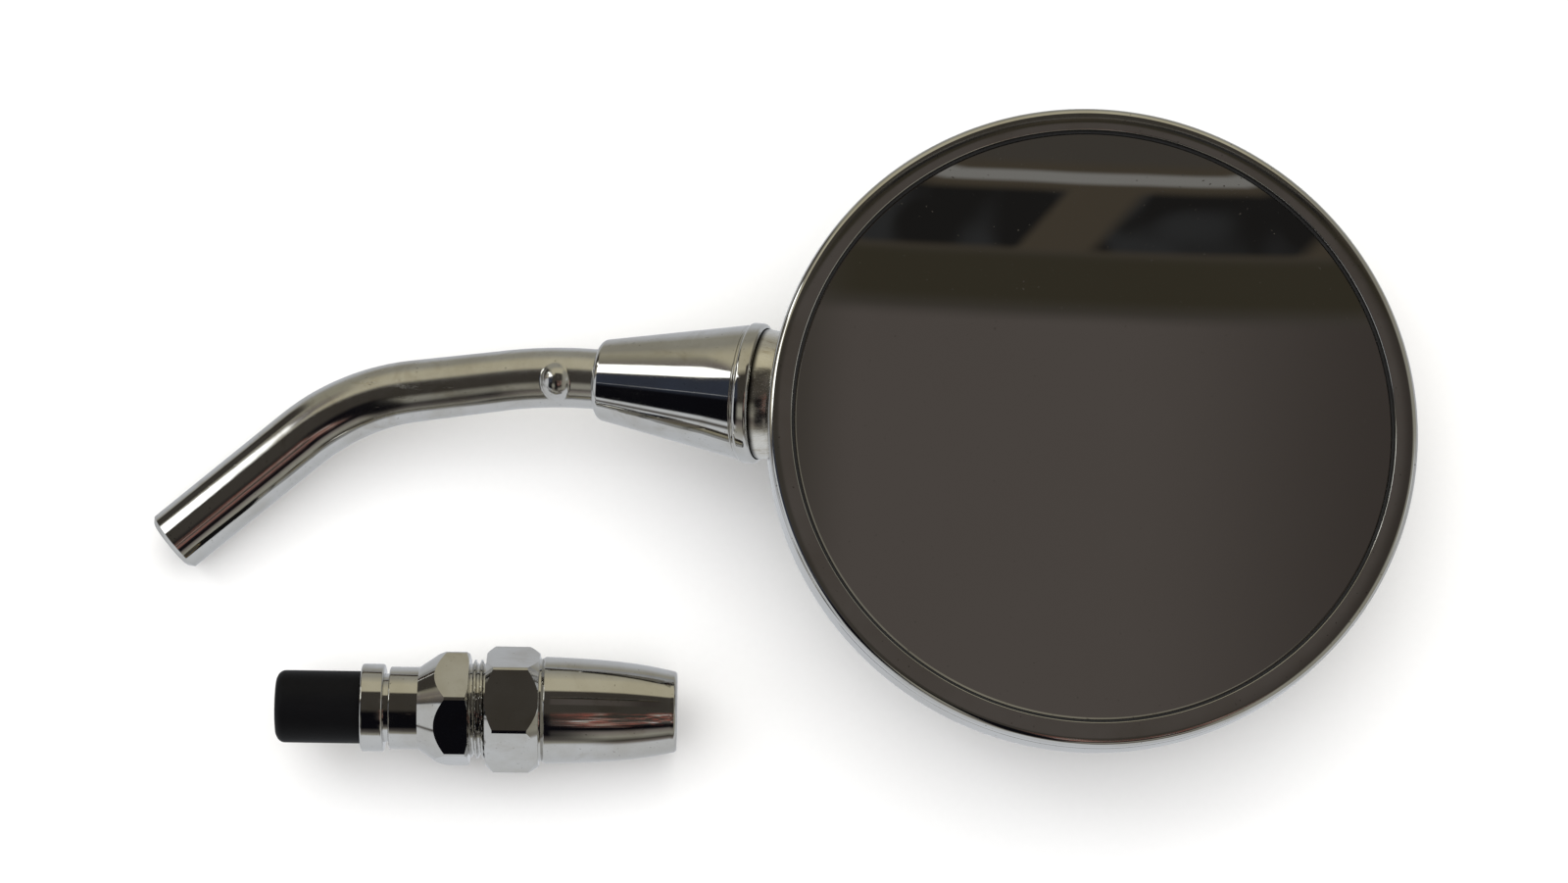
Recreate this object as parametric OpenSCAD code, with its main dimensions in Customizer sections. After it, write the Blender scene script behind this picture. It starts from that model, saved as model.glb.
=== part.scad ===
// Round bar-end mirror for a motorcycle, lying glass up, with its bar-end clamp taken off beside it.
// Millimetres, +Z up. The origin is on the bench, under the middle of the whole part.
// The mirror stands on its domed back and on the end of its stem, the clamp on two of its edges.

/* [Mirror head] */
// Outer diameter of the round head
head_d = 98; // [94:1:112]
// Depth of the head from the bezel's face to the top of its dome
head_depth = 24.3; // [22:0.1:28]
// Height of the shell's straight wall, from the bezel's face
shell_skirt = 6.5; // [5:0.1:8]
// Radius where the straight wall turns into the dome
shell_corner_r = 9.3; // [7:0.1:11]
// Wall of the pressed shell
shell_wall = 1.2; // [0.8:0.1:1.6]
// Depth of the bezel's outer edge, down to the seam with the shell
bezel_depth = 2.6; // [2:0.1:4]
// Radius of the bezel's rounded shoulder
shoulder_r = 1.1; // [0.5:0.1:1.6]
// Width of the bezel's face, from its outer edge to the groove
bezel_w = 3.55; // [3:0.05:8]
// Thickness of the glass at its edge
glass_t = 2.4; // [2:0.1:3]
// Radius of the glass's convex face
glass_bulge_r = 1200; // [800:50:2000]
// Width of the groove between the glass and the bezel
glass_groove = 0.45; // [0.3:0.05:0.8]
// How far the glass's edge sits under the bezel's face
glass_sink = 0.35; // [0.1:0.05:0.6]
// Thickness of the foam pad behind the glass
foam_t = 1.2; // [0.8:0.1:1.6]
// Thickness of the backing plate behind the foam
backing_t = 1.4; // [1:0.1:2]
// Thickness of the ledge that carries the backing plate
ledge_t = 1; // [0.8:0.1:1.5]
// Width of that ledge
ledge_w = 2.6; // [1.5:0.1:4]

/* [Ball joint] */
// Outer radius of the hollow ball that is the head's neck
ball_r = 9.9; // [9.5:0.1:10.1]
// Wall of the hollow ball
ball_wall = 2; // [1.6:0.1:2.4]
// Radius of the hole in the ball's pole that the pivot bolt passes
pole_hole_r = 4.9; // [4.6:0.1:5.2]
// Thickness of the nylon liner inside the ball
liner_t = 0.7; // [0.5:0.1:1]
// How far the ball's centre lies outside the head's rim
ball_out = 0.7; // [0.6:0.1:2.4]
// How far the ball's centre lies behind the bezel's face
ball_down = 12.9; // [12:0.1:14]
// Thread diameter of the pivot bolt
pivot_d = 4; // [3:0.5:4]
// Height of the spring stack
spring_h = 2.2; // [1.6:0.1:2.4]
// Gap between sliding spherical faces
ball_gap = 0.1; // [0.05:0.01:0.15]

/* [Cone housing] */
// Length of the cone from its mouth to its narrow end
cone_l = 25.6; // [24:0.1:30]
// Outer radius of the cone's mouth
mouth_r = 10.7; // [10.6:0.1:12]
// Outer radius of the narrow end
cone_end_r = 6.3; // [6:0.1:8]
// Radius of the narrow end's rounded edge
cone_end_round = 1.3; // [0.6:0.1:1.6]
// Length of the lip band round the mouth
lip_l = 2.5; // [1.5:0.1:3.5]
// Thickness of the web that the pivot bolt pulls on
web_t = 1.6; // [1.2:0.1:2]

/* [Stem] */
// Diameter of the stem's leg, the end that the clamp grips
stem_d = 10; // [9.5:0.1:10]
// Diameter of the stem where it enters the cone
stem_root_d = 9.2; // [9:0.1:9.5]
// Room between the tip of the pivot bolt and the stem's root inside the cone
root_room = 1.7; // [0.5:0.1:3]
// Turn of the slight bend next to the cone, in degrees
bend_1_turn = 11.8; // [8:0.1:15]
// Centreline radius of the slight bend
bend_1_r = 72; // [50:1:90]
// Straight run between the bends, over which the stem swells to its full diameter
swell_l = 14.3; // [8:0.1:20]
// Turn of the main bend, in degrees
bend_2_turn = 33.8; // [20:0.1:45]
// Centreline radius of the main bend
bend_2_r = 33; // [25:1:60]
// Straight leg after the main bend
leg_l = 25.9; // [25:0.1:45]
// Chamfer of the stem's free end
stem_chamfer = 0.9; // [0.4:0.1:1.4]
// Distance from the cone to the pressed stop pips
pip_out = 6; // [4:0.1:8]
// Radius of a pip
pip_r = 3; // [2:0.1:3.5]
// How far a pip stands out of the stem
pip_h = 0.9; // [0.5:0.1:1.2]

/* [Clamp] */
// Outer diameter of the rubber sleeve that goes into the handlebar
rubber_d = 11; // [11:0.1:11.6]
// Length of the rubber sleeve
rubber_l = 12.9; // [12:0.1:20]
// Diameter of the collar that stops at the end of the handlebar
collar_d = 13.3; // [13:0.1:16]
// Length of the collar
collar_l = 3.5; // [2.5:0.1:5]
// Width of the groove behind the collar
collar_groove = 0.8; // [0.5:0.1:1.2]
// Diameter of the body's barrel
barrel_d = 12.5; // [12:0.1:13]
// Length of the barrel
barrel_l = 4.4; // [4:0.1:8]
// Width across the flats of the body's hexagon
body_hex = 16; // [16:0.5:17]
// Length of the body's hexagon with the turned cone that leads up to it
body_hex_l = 7.7; // [7:0.1:10]
// Slope of that cone, as rise over run
flare_slope = 0.68; // [0.5:0.01:0.8]
// Outer diameter of the clamp thread
thread_d = 15; // [15:0.1:15.2]
// Pitch of the clamp thread
thread_pitch = 1; // [0.75:0.25:1.25]
// Length of thread left in view between the hexagons
thread_show = 2.6; // [2.5:0.1:4]
// Length of thread hidden in the nut
thread_hidden = 3.8; // [3:0.1:4.2]
// Width across the flats of the clamp nut
nut_hex = 17; // [17:0.5:18]
// Length of the nut's hexagon
nut_hex_l = 8; // [7.5:0.1:10]
// Length of the nut's tapered nose
nose_l = 20.9; // [20:0.1:28]
// Radius of the nose at the hexagon
nose_r = 8.1; // [7.9:0.1:8.2]
// Radius of the nose just before its rounded rim
nose_end_r = 6.2; // [6.1:0.1:6.6]
// Running gap round the stem in the collet
grip_gap = 0.05; // [0.03:0.01:0.1]
// Wall of the collet's plain end
collet_wall = 0.85; // [0.7:0.05:0.9]
// Length of the collet's plain end
collet_tail_l = 7; // [6:0.1:7]
// Length of the collet's tapered head
collet_head_l = 10.5; // [8:0.1:11]
// Width of a slot in the collet
collet_slot = 0.8; // [0.5:0.1:1.2]
// Thread diameter of the draw bolt
draw_bolt_d = 5; // [4:0.5:5]

/* [Pose on the bench] */
// How far the head leans over towards its right side, in degrees
head_dip = 5.8; // [4:0.1:8]
// Heading of the arm, turned clockwise from +X, in degrees
heading = 7; // [0:0.1:15]
// Distance of the clamp's axis from the head's middle, towards the front
clamp_front = 41.25; // [36:0.05:60]
// Distance from the head's middle to the end of the clamp's nose, towards the left
clamp_left = 63.3; // [60:0.1:80]

/* [Hidden] */
$fn = 96;

slip = 0.05;
cut = 1;
far = 400;

// Mirror head, in a frame with its origin at the middle of the bezel's face
head_r = head_d / 2;
corner_x = head_r - shell_corner_r;
dome_r = (pow(corner_x, 2) + pow(head_depth - shell_skirt, 2) - pow(shell_corner_r, 2))
    / (2 * (head_depth - shell_skirt - shell_corner_r));
dome_z = dome_r - head_depth;
lip_r = head_r - bezel_w;
glass_r = lip_r - glass_groove;
spigot_r = head_r - shell_wall - slip;
glass_back_z = -glass_sink - glass_t;
foam_back_z = glass_back_z - foam_t;
foam_margin = 2;
plate_back_z = foam_back_z - backing_t;
bezel_back_z = plate_back_z - ledge_t;

// Ball joint, along the cone's axis with zero at the ball's centre and plus towards the head
bolt_play = 0.3;
seat_step = 0.7;
spring_play = 0.2;
nut_play = 0.02;
nut_chamfer = 0.15;
tip_out = 0.5;
liner_lip = 0.3;
cup_r = ball_r - ball_wall;
liner_r = cup_r - ball_gap;
washer_r = liner_r - liner_t - ball_gap;
washer_face = -2.2;
liner_top = 1.5;
liner_hole_r = pole_hole_r - liner_lip;
bolt_head_r = 0.875 * pivot_d;
seat_out_r = 7.4;
seat_r = ball_r + ball_gap;
cone_ball_r = ball_r + 1.5 * ball_gap;
seat_top = -sqrt(pow(cone_ball_r, 2) - pow(seat_out_r, 2));
seat_bottom = -10.4;
spring_bottom = seat_bottom - spring_h;
web_bottom = spring_bottom - web_t;
nut_af = 1.75 * pivot_d;
thrust_t = 0.8;
lock_nut_h = 0.8 * pivot_d;
lock_nut_z = web_bottom - thrust_t;
pivot_tip = lock_nut_z - lock_nut_h - tip_out;
stem_top = pivot_tip - root_room;
root_bore_r = stem_root_d / 2 + slip / 2;
bolt_hole_r = pivot_d / 2 + bolt_play;
seat_hole_r = bolt_hole_r + seat_step;
washer_play = 0.15;
mouth_round = 0.35;
lip_step = 0.2;
boss_step = 0.45;
tube_wall = 1;
boss_r = ball_r - boss_step;
tube_r = cup_r + tube_wall;
tube_flare = 1;
neck_reach = head_depth;

// Pose of the head and the arm
front_z = dome_r - dome_z * cos(head_dip);
ball_x = -head_r - ball_out;
ball_height = front_z - ball_x * sin(head_dip) - ball_down * cos(head_dip);
bend_turn = bend_1_turn + bend_2_turn;
stem_lead = 0.4;
stem_reach = cone_l + stem_lead + bend_1_r * sin(bend_1_turn) + swell_l * cos(bend_1_turn)
    + bend_2_r * (sin(bend_turn) - sin(bend_1_turn)) + leg_l * cos(bend_turn);
stem_side = bend_1_r * (1 - cos(bend_1_turn)) + swell_l * sin(bend_1_turn)
    + bend_2_r * (cos(bend_1_turn) - cos(bend_turn)) + leg_l * sin(bend_turn);
arm_rise = asin((ball_height - stem_d / 2) / stem_reach);
pip_u = pip_out - stem_lead;
bend_1_l = bend_1_r * bend_1_turn * PI / 180;
bend_2_l = bend_2_r * bend_2_turn * PI / 180;
stem_sides = 48;
sweep_inset = 0.005;
plug_l = 0.8;
plug_step = 0.3;

// Clamp, along its own axis with zero at the rubber's end
collar_a = rubber_l;
groove_a = collar_a + collar_l;
barrel_a = groove_a + collar_groove;
flare_a = barrel_a + barrel_l;
hex_end_a = flare_a + body_hex_l;
nut_a = hex_end_a + thread_show;
body_end_a = nut_a + thread_hidden;
nose_a = nut_a + nut_hex_l;
clamp_l = nose_a + nose_l;
body_corner_r = body_hex / sqrt(3);
nut_corner_r = nut_hex / sqrt(3);
edge_chamfer = 0.4;
barrel_chamfer = 0.2;
collar_chamfer = 0.3;
collar_wall = 1.45;
tail_play = 0.1;
tail_chamfer = 0.2;
thread_play = 0.1;
thread_lead = 0.4;
nose_play = 0.15;
nose_step = 0.3;
nose_step_a = 0.4;
nose_start_a = 0.9;
rim_extra = 0.1;
draw_play = 0.2;
wedge_play = 0.25;
wedge_room = 0.2;
slot_back = 3;
stem_bore_r = stem_d / 2 + grip_gap;
tail_r = stem_bore_r + collet_wall;
body_bore_r = tail_r + tail_play;
bolt_seat_in = 1.8;
bolt_seat_a = flare_a + bolt_seat_in;
bolt_washer_t = 1;
draw_head_h = 3.5;
draw_socket_l = 2.2;
spigot_out_r = collar_d / 2 - collar_wall;
thread_root_r = thread_d / 2 - 0.6 * thread_pitch;
nut_bore_r = thread_d / 2 + thread_play;
collar_gap = 2.5;
collet_collar_a = body_end_a + collar_gap;
collet_collar_l = 1.8;
collet_collar_play = 0.6;
collet_collar_r = nut_bore_r - collet_collar_play;
collet_end_a = collet_collar_a + collet_collar_l + collet_head_l;
collet_end_wall = 0.75;
collet_end_r = stem_bore_r + collet_end_wall;
taper_gap = 0.15;
nose_bore_r = stem_bore_r + nose_play;
wedge_l = 4;
wedge_a = 0.8;
wedge_r = 3.9;
wedge_slope = 0.2;
rubber_round = 1.4;
draw_bore_r = draw_bolt_d / 2 + draw_play;

// Pose of the clamp, which rests on a corner of the body's hexagon and on a flat of the nut
body_edge_a = hex_end_a - edge_chamfer;
nut_edge_a = nose_a - edge_chamfer;
clamp_nod = atan((body_corner_r - nut_hex / 2) / (nut_edge_a - body_edge_a));
clamp_z = body_edge_a * sin(clamp_nod) + body_corner_r * cos(clamp_nod);
clamp_x = -clamp_left - clamp_l * cos(clamp_nod);

// The ball's centre and the middle of the whole part, seen from above with the head's middle at zero
ball_pos = [
    (ball_x * cos(head_dip) - ball_down * sin(head_dip)) * cos(heading),
    -(ball_x * cos(head_dip) - ball_down * sin(head_dip)) * sin(heading),
    ball_height,
];
leg_heading = bend_turn - heading;
stem_end_x = ball_pos[0] - stem_reach * cos(arm_rise) * cos(heading) - stem_side * sin(heading);
left_x = min(stem_end_x - (stem_d / 2 - stem_chamfer) * sin(leg_heading), clamp_x);
right_x = head_r * cos(head_dip * 0.95);
front_y = min(-clamp_front - nut_corner_r, -head_r);
middle = [(left_x + right_x) / 2, (front_y + head_r) / 2];

function arc(centre, radius, from, to, steps = 8) = [
    for (i = [0:steps])
        let (a = from + (to - from) * i / steps)
        [centre[0] + radius * cos(a), centre[1] + radius * sin(a)]
];

// Places a piece that is drawn in the head's frame
module in_head() {
    translate([-middle[0], -middle[1], front_z])
        rotate([0, head_dip, -heading])
            children();
}

// Places a piece that is drawn along the cone's axis, with its local +X down and -Y to the front
module in_arm() {
    translate([ball_pos[0] - middle[0], ball_pos[1] - middle[1], ball_pos[2]])
        rotate([0, 90 - arm_rise, -heading])
            children();
}

// Places a piece that is drawn along the clamp's axis, with its local +X down
module in_clamp() {
    translate([clamp_x - middle[0], -clamp_front - middle[1], clamp_z])
        rotate([0, 90 + clamp_nod, 0])
            children();
}

// Carries a piece from the head's frame to the frame of the cone's axis
module head_in_arm() {
    rotate([0, head_dip - 90 + arm_rise, 0])
        translate([-ball_x, 0, ball_down])
            children();
}

module between(low, high) {
    translate([0, 0, low])
        cylinder(r = far, h = high - low);
}

// A ring or washer between two heights
module ring(outer, inner, low, high) {
    translate([0, 0, low])
        difference() {
            cylinder(r = outer, h = high - low);
            translate([0, 0, -cut])
                cylinder(r = inner, h = high - low + 2 * cut);
        }
}

// A hexagon prism with its corner edges turned off at both ends
module hexagon(across, low, high, chamfer, face_up) {
    corner = across / sqrt(3);
    intersection() {
        translate([0, 0, low])
            rotate([0, 0, face_up ? 30 : 0])
                cylinder(r = corner, h = high - low, $fn = 6);
        rotate_extrude()
            polygon([
                [0, low], [corner - 2 * chamfer, low], [corner, low + chamfer * 1.2],
                [corner, high - chamfer * 1.2], [corner - 2 * chamfer, high], [0, high],
            ]);
    }
}

// Half section of the head's outer form, drawn in by a wall: straight wall, corner arc and dome
module head_section(inset) {
    reach = 2 * dome_r / corner_arm();
    square_r = head_r - inset;
    translate([0, -shell_skirt])
        square([square_r, shell_skirt + cut]);
    translate([corner_x, -shell_skirt])
        circle(r = shell_corner_r - inset);
    intersection() {
        translate([0, dome_z])
            circle(r = dome_r - inset, $fn = 360);
        polygon([
            [0, -shell_skirt], [corner_x, -shell_skirt],
            [corner_x * reach, dome_z - (dome_z + shell_skirt) * reach],
            [0, dome_z - (dome_z + shell_skirt) * reach],
        ]);
    }
}

function corner_arm() = norm([corner_x, dome_z + shell_skirt]);

module head_solid(inset) {
    rotate_extrude($fn = 180)
        head_section(inset);
}

module back_shell() {
    color([0.72, 0.73, 0.75])
        in_head()
            difference() {
                head_solid(0);
                head_solid(shell_wall);
                between(-bezel_depth - slip, far);
                arm_in_head()
                    cylinder(r = tube_r + slip, h = neck_reach);
            }
}

// Carries a piece from the frame of the cone's axis to the head's frame
module arm_in_head() {
    translate([ball_x, 0, -ball_down])
        rotate([0, 90 - arm_rise - head_dip, 0])
            children();
}

module bezel_ring() {
    color([0.75, 0.76, 0.78])
        in_head()
            rotate_extrude($fn = 180)
                difference() {
                    union() {
                        translate([lip_r, -bezel_depth])
                            square([head_r - shoulder_r - lip_r, bezel_depth]);
                        translate([lip_r, -bezel_depth])
                            square([head_r - lip_r, bezel_depth - shoulder_r]);
                        translate([head_r - shoulder_r, -shoulder_r])
                            circle(r = shoulder_r);
                        translate([lip_r - ledge_w, bezel_back_z])
                            square([spigot_r - lip_r + ledge_w, -bezel_back_z - bezel_depth]);
                    }
                    translate([lip_r - ledge_w - cut, plate_back_z])
                        square([ledge_w + cut, -plate_back_z + cut]);
                }
}

// Height of the convex face at a distance from the middle
function glass_face_z(r) =
    sqrt(pow(glass_bulge_r, 2) - pow(r, 2)) - sqrt(pow(glass_bulge_r, 2) - pow(glass_r, 2)) - glass_sink;

module mirror_glass() {
    color([0.24, 0.23, 0.22])
        in_head()
            rotate_extrude($fn = 180)
                polygon(concat(
                    [[0, glass_back_z], [glass_r, glass_back_z]],
                    [for (i = [12:-1:0]) [glass_r * i / 12, glass_face_z(glass_r * i / 12)]]
                ));
}

module glass_gasket() {
    color([0.05, 0.05, 0.05])
        in_head()
            ring(lip_r - slip / 2, glass_r + slip / 2, plate_back_z, -2 * glass_sink);
}

module foam_pad() {
    color([0.2, 0.2, 0.22])
        in_head()
            translate([0, 0, foam_back_z])
                cylinder(r = glass_r - foam_margin, h = foam_t);
}

module backing_plate() {
    color([0.12, 0.12, 0.13])
        in_head()
            translate([0, 0, plate_back_z])
                cylinder(r = glass_r - slip, h = backing_t);
}

// The hollow ball with the boss that joins it to the shell and the tube that is swaged inside
module neck_cup() {
    color([0.66, 0.65, 0.64])
        in_arm()
            difference() {
                union() {
                    difference() {
                        union() {
                            sphere(r = ball_r);
                            cylinder(r = boss_r, h = neck_reach);
                        }
                        head_in_arm()
                            head_solid(-slip);
                    }
                    difference() {
                        cylinder(r = tube_r, h = neck_reach);
                        head_in_arm()
                            head_solid(shell_wall + tube_flare);
                    }
                }
                sphere(r = cup_r);
                cylinder(r = cup_r, h = neck_reach + cut);
                translate([0, 0, -ball_r - cut])
                    cylinder(r = pole_hole_r, h = ball_r + cut);
                head_in_arm() {
                    between(-bezel_depth, far);
                    translate([0, 0, bezel_back_z - slip])
                        cylinder(r = spigot_r + slip, h = far);
                }
            }
}

module ball_liner() {
    color([0.9, 0.88, 0.82])
        in_arm()
            difference() {
                intersection() {
                    sphere(r = liner_r);
                    between(-liner_r, liner_top);
                }
                sphere(r = liner_r - liner_t);
                translate([0, 0, -liner_r - cut])
                    cylinder(r = liner_hole_r, h = liner_r);
            }
}

module domed_washer() {
    color([0.7, 0.6, 0.35])
        in_arm()
            difference() {
                intersection() {
                    sphere(r = washer_r);
                    between(-washer_r, washer_face);
                }
                translate([0, 0, -washer_r - cut])
                    cylinder(r = pivot_d / 2 + slip, h = washer_r + cut);
            }
}

module pivot_bolt() {
    socket_r = pivot_d * 0.375 / cos(30);
    color([0.35, 0.35, 0.37])
        in_arm()
            difference() {
                union() {
                    translate([0, 0, pivot_tip])
                        cylinder(d = pivot_d, h = washer_face - pivot_tip);
                    translate([0, 0, washer_face])
                        cylinder(r = bolt_head_r, h = pivot_d);
                }
                translate([0, 0, washer_face + pivot_d / 2])
                    cylinder(r = socket_r, h = pivot_d, $fn = 6);
            }
}

module cone_housing() {
    slope = (mouth_r - cone_end_r) / cone_l;
    groove_z = -lip_l;
    groove_r = mouth_r - lip_l * slope;
    color([0.74, 0.75, 0.77])
        in_arm()
            difference() {
                rotate_extrude($fn = 180)
                    polygon(concat(
                        [[0, 0], [mouth_r - mouth_round, 0]],
                        arc([mouth_r - mouth_round, -mouth_round], mouth_round, 90, 0, 5),
                        [
                            [mouth_r, groove_z + mouth_round],
                            [groove_r - lip_step, groove_z + lip_step / 2],
                            [groove_r - lip_step, groove_z - lip_step],
                            [groove_r, groove_z - 2 * lip_step],
                        ],
                        arc([cone_end_r - cone_end_round, -cone_l + cone_end_round],
                            cone_end_round, -atan(slope), -90),
                        [[0, -cone_l]]
                    ));
                sphere(r = cone_ball_r);
                translate([0, 0, spring_bottom])
                    cylinder(r = seat_out_r + slip, h = -spring_bottom);
                translate([0, 0, -cone_l])
                    cylinder(r = bolt_hole_r, h = cone_l);
                translate([0, 0, -cone_l - cut])
                    cylinder(r = root_bore_r, h = cone_l + web_bottom + cut);
            }
}

module seat_ring() {
    color([0.86, 0.85, 0.8])
        in_arm()
            difference() {
                translate([0, 0, seat_bottom])
                    cylinder(r = seat_out_r, h = seat_top - seat_bottom);
                sphere(r = seat_r);
                translate([0, 0, seat_bottom - cut])
                    cylinder(r = seat_hole_r, h = 2 * ball_r);
            }
}

// Two pairs of shallow conical spring washers, stacked as one group
module disc_springs() {
    spring_r = seat_out_r - spring_play;
    leaf = spring_h / 4;
    color([0.45, 0.45, 0.48])
        in_arm()
            for (i = [0:3])
                translate([0, 0, spring_bottom + i * leaf])
                    rotate_extrude()
                        polygon(i % 2 == 0
                            ? [[bolt_hole_r, 0.6 * leaf], [spring_r, 0], [spring_r, 0.4 * leaf],
                                [bolt_hole_r, leaf]]
                            : [[bolt_hole_r, 0], [spring_r, 0.6 * leaf], [spring_r, leaf],
                                [bolt_hole_r, 0.4 * leaf]]);
}

module thrust_washer() {
    color([0.6, 0.6, 0.62])
        in_arm()
            ring(root_bore_r - washer_play, pivot_d / 2 + washer_play, lock_nut_z, web_bottom);
}

module lock_nut() {
    color([0.55, 0.55, 0.57])
        in_arm()
            difference() {
                hexagon(nut_af, lock_nut_z - lock_nut_h, lock_nut_z, nut_chamfer, false);
                translate([0, 0, lock_nut_z - lock_nut_h - cut])
                    cylinder(r = pivot_d / 2 + nut_play, h = lock_nut_h + 2 * cut);
            }
}

// Direction of the stem's centreline after a length of sweep, in degrees from the cone's axis
function stem_turn(u) =
    u < bend_1_l ? bend_1_turn * u / bend_1_l
        : bend_1_turn + bend_2_turn * max(0, u - bend_1_l - swell_l) / bend_2_l;

// Place of the centreline there, as [side, along] from the start of the slight bend
function stem_place(u) =
    u < bend_1_l
        ? bend_1_r * [1 - cos(stem_turn(u)), sin(stem_turn(u))]
        : let (in_2 = max(0, u - bend_1_l - swell_l), on_run = u - bend_1_l - in_2)
            bend_1_r * [1 - cos(bend_1_turn), sin(bend_1_turn)]
            + on_run * [sin(bend_1_turn), cos(bend_1_turn)]
            + bend_2_r * [cos(bend_1_turn) - cos(stem_turn(u)), sin(stem_turn(u)) - sin(bend_1_turn)];

// Radius of the stem there: it swells over the straight run and most of the main bend
function stem_radius(u) =
    let (share = min(1, max(0, u - bend_1_l) / (swell_l + 0.8 * bend_2_l)))
        (stem_root_d + (stem_d - stem_root_d) * share) / 2 - sweep_inset;

// One ring of the sweep, as a list of points
function stem_ring(u, radius) =
    let (turn = stem_turn(u), place = stem_place(u))
        [
            for (i = [0:stem_sides - 1])
                let (a = 360 * i / stem_sides)
                [
                    radius * cos(a),
                    -place[0] + radius * sin(a) * cos(turn),
                    -place[1] - radius * sin(a) * sin(turn),
                ]
        ];

// The bent stretch, whose two ends are plugs that sit inside the straight ones
module stem_sweep() {
    stations = concat(
        [for (i = [0:4]) bend_1_l * i / 4],
        [for (i = [1:3]) bend_1_l + swell_l * i / 3],
        [for (i = [1:14]) bend_1_l + swell_l + bend_2_l * i / 14]
    );
    sweep_l = bend_1_l + swell_l + bend_2_l;
    rings = concat(
        [[for (q = stem_ring(0, stem_root_d / 2 - plug_step)) q + [0, 0, plug_l]]],
        [for (u = stations) stem_ring(u, stem_radius(u))],
        [[
            for (q = stem_ring(sweep_l, stem_d / 2 - plug_step))
                q - plug_l * [0, sin(bend_turn), cos(bend_turn)]
        ]]
    );
    last = len(rings) - 1;
    polyhedron(
        points = [for (r = rings) each r],
        faces = concat(
            [[for (i = [stem_sides - 1:-1:0]) i]],
            [
                for (k = [0:last - 1], i = [0:stem_sides - 1])
                    let (j = (i + 1) % stem_sides)
                    [k * stem_sides + i, k * stem_sides + j,
                        (k + 1) * stem_sides + j, (k + 1) * stem_sides + i]
            ],
            [[for (i = [0:stem_sides - 1]) last * stem_sides + i]]
        )
    );
}

// Two bulges pressed out of the stem, one on each side
module pips() {
    place = stem_place(pip_u);
    for (side = [-1, 1])
        translate([side * (stem_root_d / 2 + pip_h - pip_r), -place[0], -place[1]])
            sphere(r = pip_r);
}

module stem() {
    leg_start = stem_place(bend_1_l + swell_l + bend_2_l);
    color([0.73, 0.74, 0.76])
        in_arm()
            union() {
                translate([0, 0, -cone_l - stem_lead])
                    cylinder(d = stem_root_d, h = stem_top + cone_l + stem_lead);
                translate([0, 0, -cone_l - stem_lead]) {
                    stem_sweep();
                    pips();
                    translate([0, -leg_start[0], -leg_start[1]])
                        rotate([180 - bend_turn, 0, 0]) {
                            cylinder(d = stem_d, h = leg_l - stem_chamfer);
                            translate([0, 0, leg_l - stem_chamfer])
                                cylinder(d1 = stem_d, d2 = stem_d - 2 * stem_chamfer, h = stem_chamfer);
                        }
                }
            }
}

// Ridges of the clamp thread, from the body's hexagon to its open end
function thread_points() = [
    for (i = [0:floor((body_end_a - hex_end_a - thread_lead) / thread_pitch) - 1])
        let (a = hex_end_a + thread_lead + i * thread_pitch)
        each [
            [thread_root_r, a], [thread_d / 2, a + 0.4 * thread_pitch],
            [thread_d / 2, a + 0.6 * thread_pitch], [thread_root_r, a + thread_pitch],
        ]
];

module clamp_body() {
    flare_l = (body_corner_r - barrel_d / 2) / flare_slope;
    color([0.72, 0.73, 0.75])
        in_clamp()
            difference() {
                union() {
                    rotate_extrude()
                        polygon(concat(
                            [
                                [0, collar_a], [spigot_out_r, collar_a], [spigot_out_r, barrel_a],
                                [barrel_d / 2 - barrel_chamfer, barrel_a],
                                [barrel_d / 2, barrel_a + barrel_chamfer],
                                [barrel_d / 2, flare_a], [body_hex / 2, flare_a
                                    + (body_hex - barrel_d) / 2 / flare_slope],
                                [body_hex / 2, hex_end_a], [thread_root_r, hex_end_a],
                            ],
                            thread_points(),
                            [[thread_root_r, body_end_a], [0, body_end_a]]
                        ));
                    intersection() {
                        hexagon(body_hex, flare_a, hex_end_a, edge_chamfer, false);
                        rotate_extrude()
                            polygon([
                                [0, flare_a], [barrel_d / 2, flare_a],
                                [body_corner_r, flare_a + flare_l], [body_corner_r, hex_end_a],
                                [0, hex_end_a],
                            ]);
                    }
                }
                translate([0, 0, collar_a - cut])
                    cylinder(r = draw_bore_r, h = clamp_l);
                translate([0, 0, bolt_seat_a])
                    cylinder(r = body_bore_r, h = clamp_l);
            }
}

module end_collar() {
    color([0.72, 0.73, 0.75])
        in_clamp()
            difference() {
                rotate_extrude()
                    polygon([
                        [0, collar_a], [collar_d / 2 - collar_chamfer, collar_a],
                        [collar_d / 2, collar_a + collar_chamfer],
                        [collar_d / 2, groove_a - collar_chamfer],
                        [collar_d / 2 - collar_chamfer, groove_a], [0, groove_a],
                    ]);
                translate([0, 0, collar_a - cut])
                    cylinder(r = spigot_out_r + slip / 2, h = collar_l + 2 * cut);
            }
}

module rubber_sleeve() {
    recess_l = wedge_a + wedge_l + wedge_room;
    mouth = wedge_r + wedge_play;
    color([0.07, 0.07, 0.08])
        in_clamp()
            rotate_extrude()
                polygon(concat(
                    [[draw_bore_r, rubber_l], [draw_bore_r, recess_l],
                        [mouth - wedge_slope * wedge_l, recess_l], [mouth, wedge_a], [mouth, 0]],
                    arc([rubber_d / 2 - rubber_round, rubber_round], rubber_round, -90, 0),
                    [[rubber_d / 2, rubber_l]]
                ));
}

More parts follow.
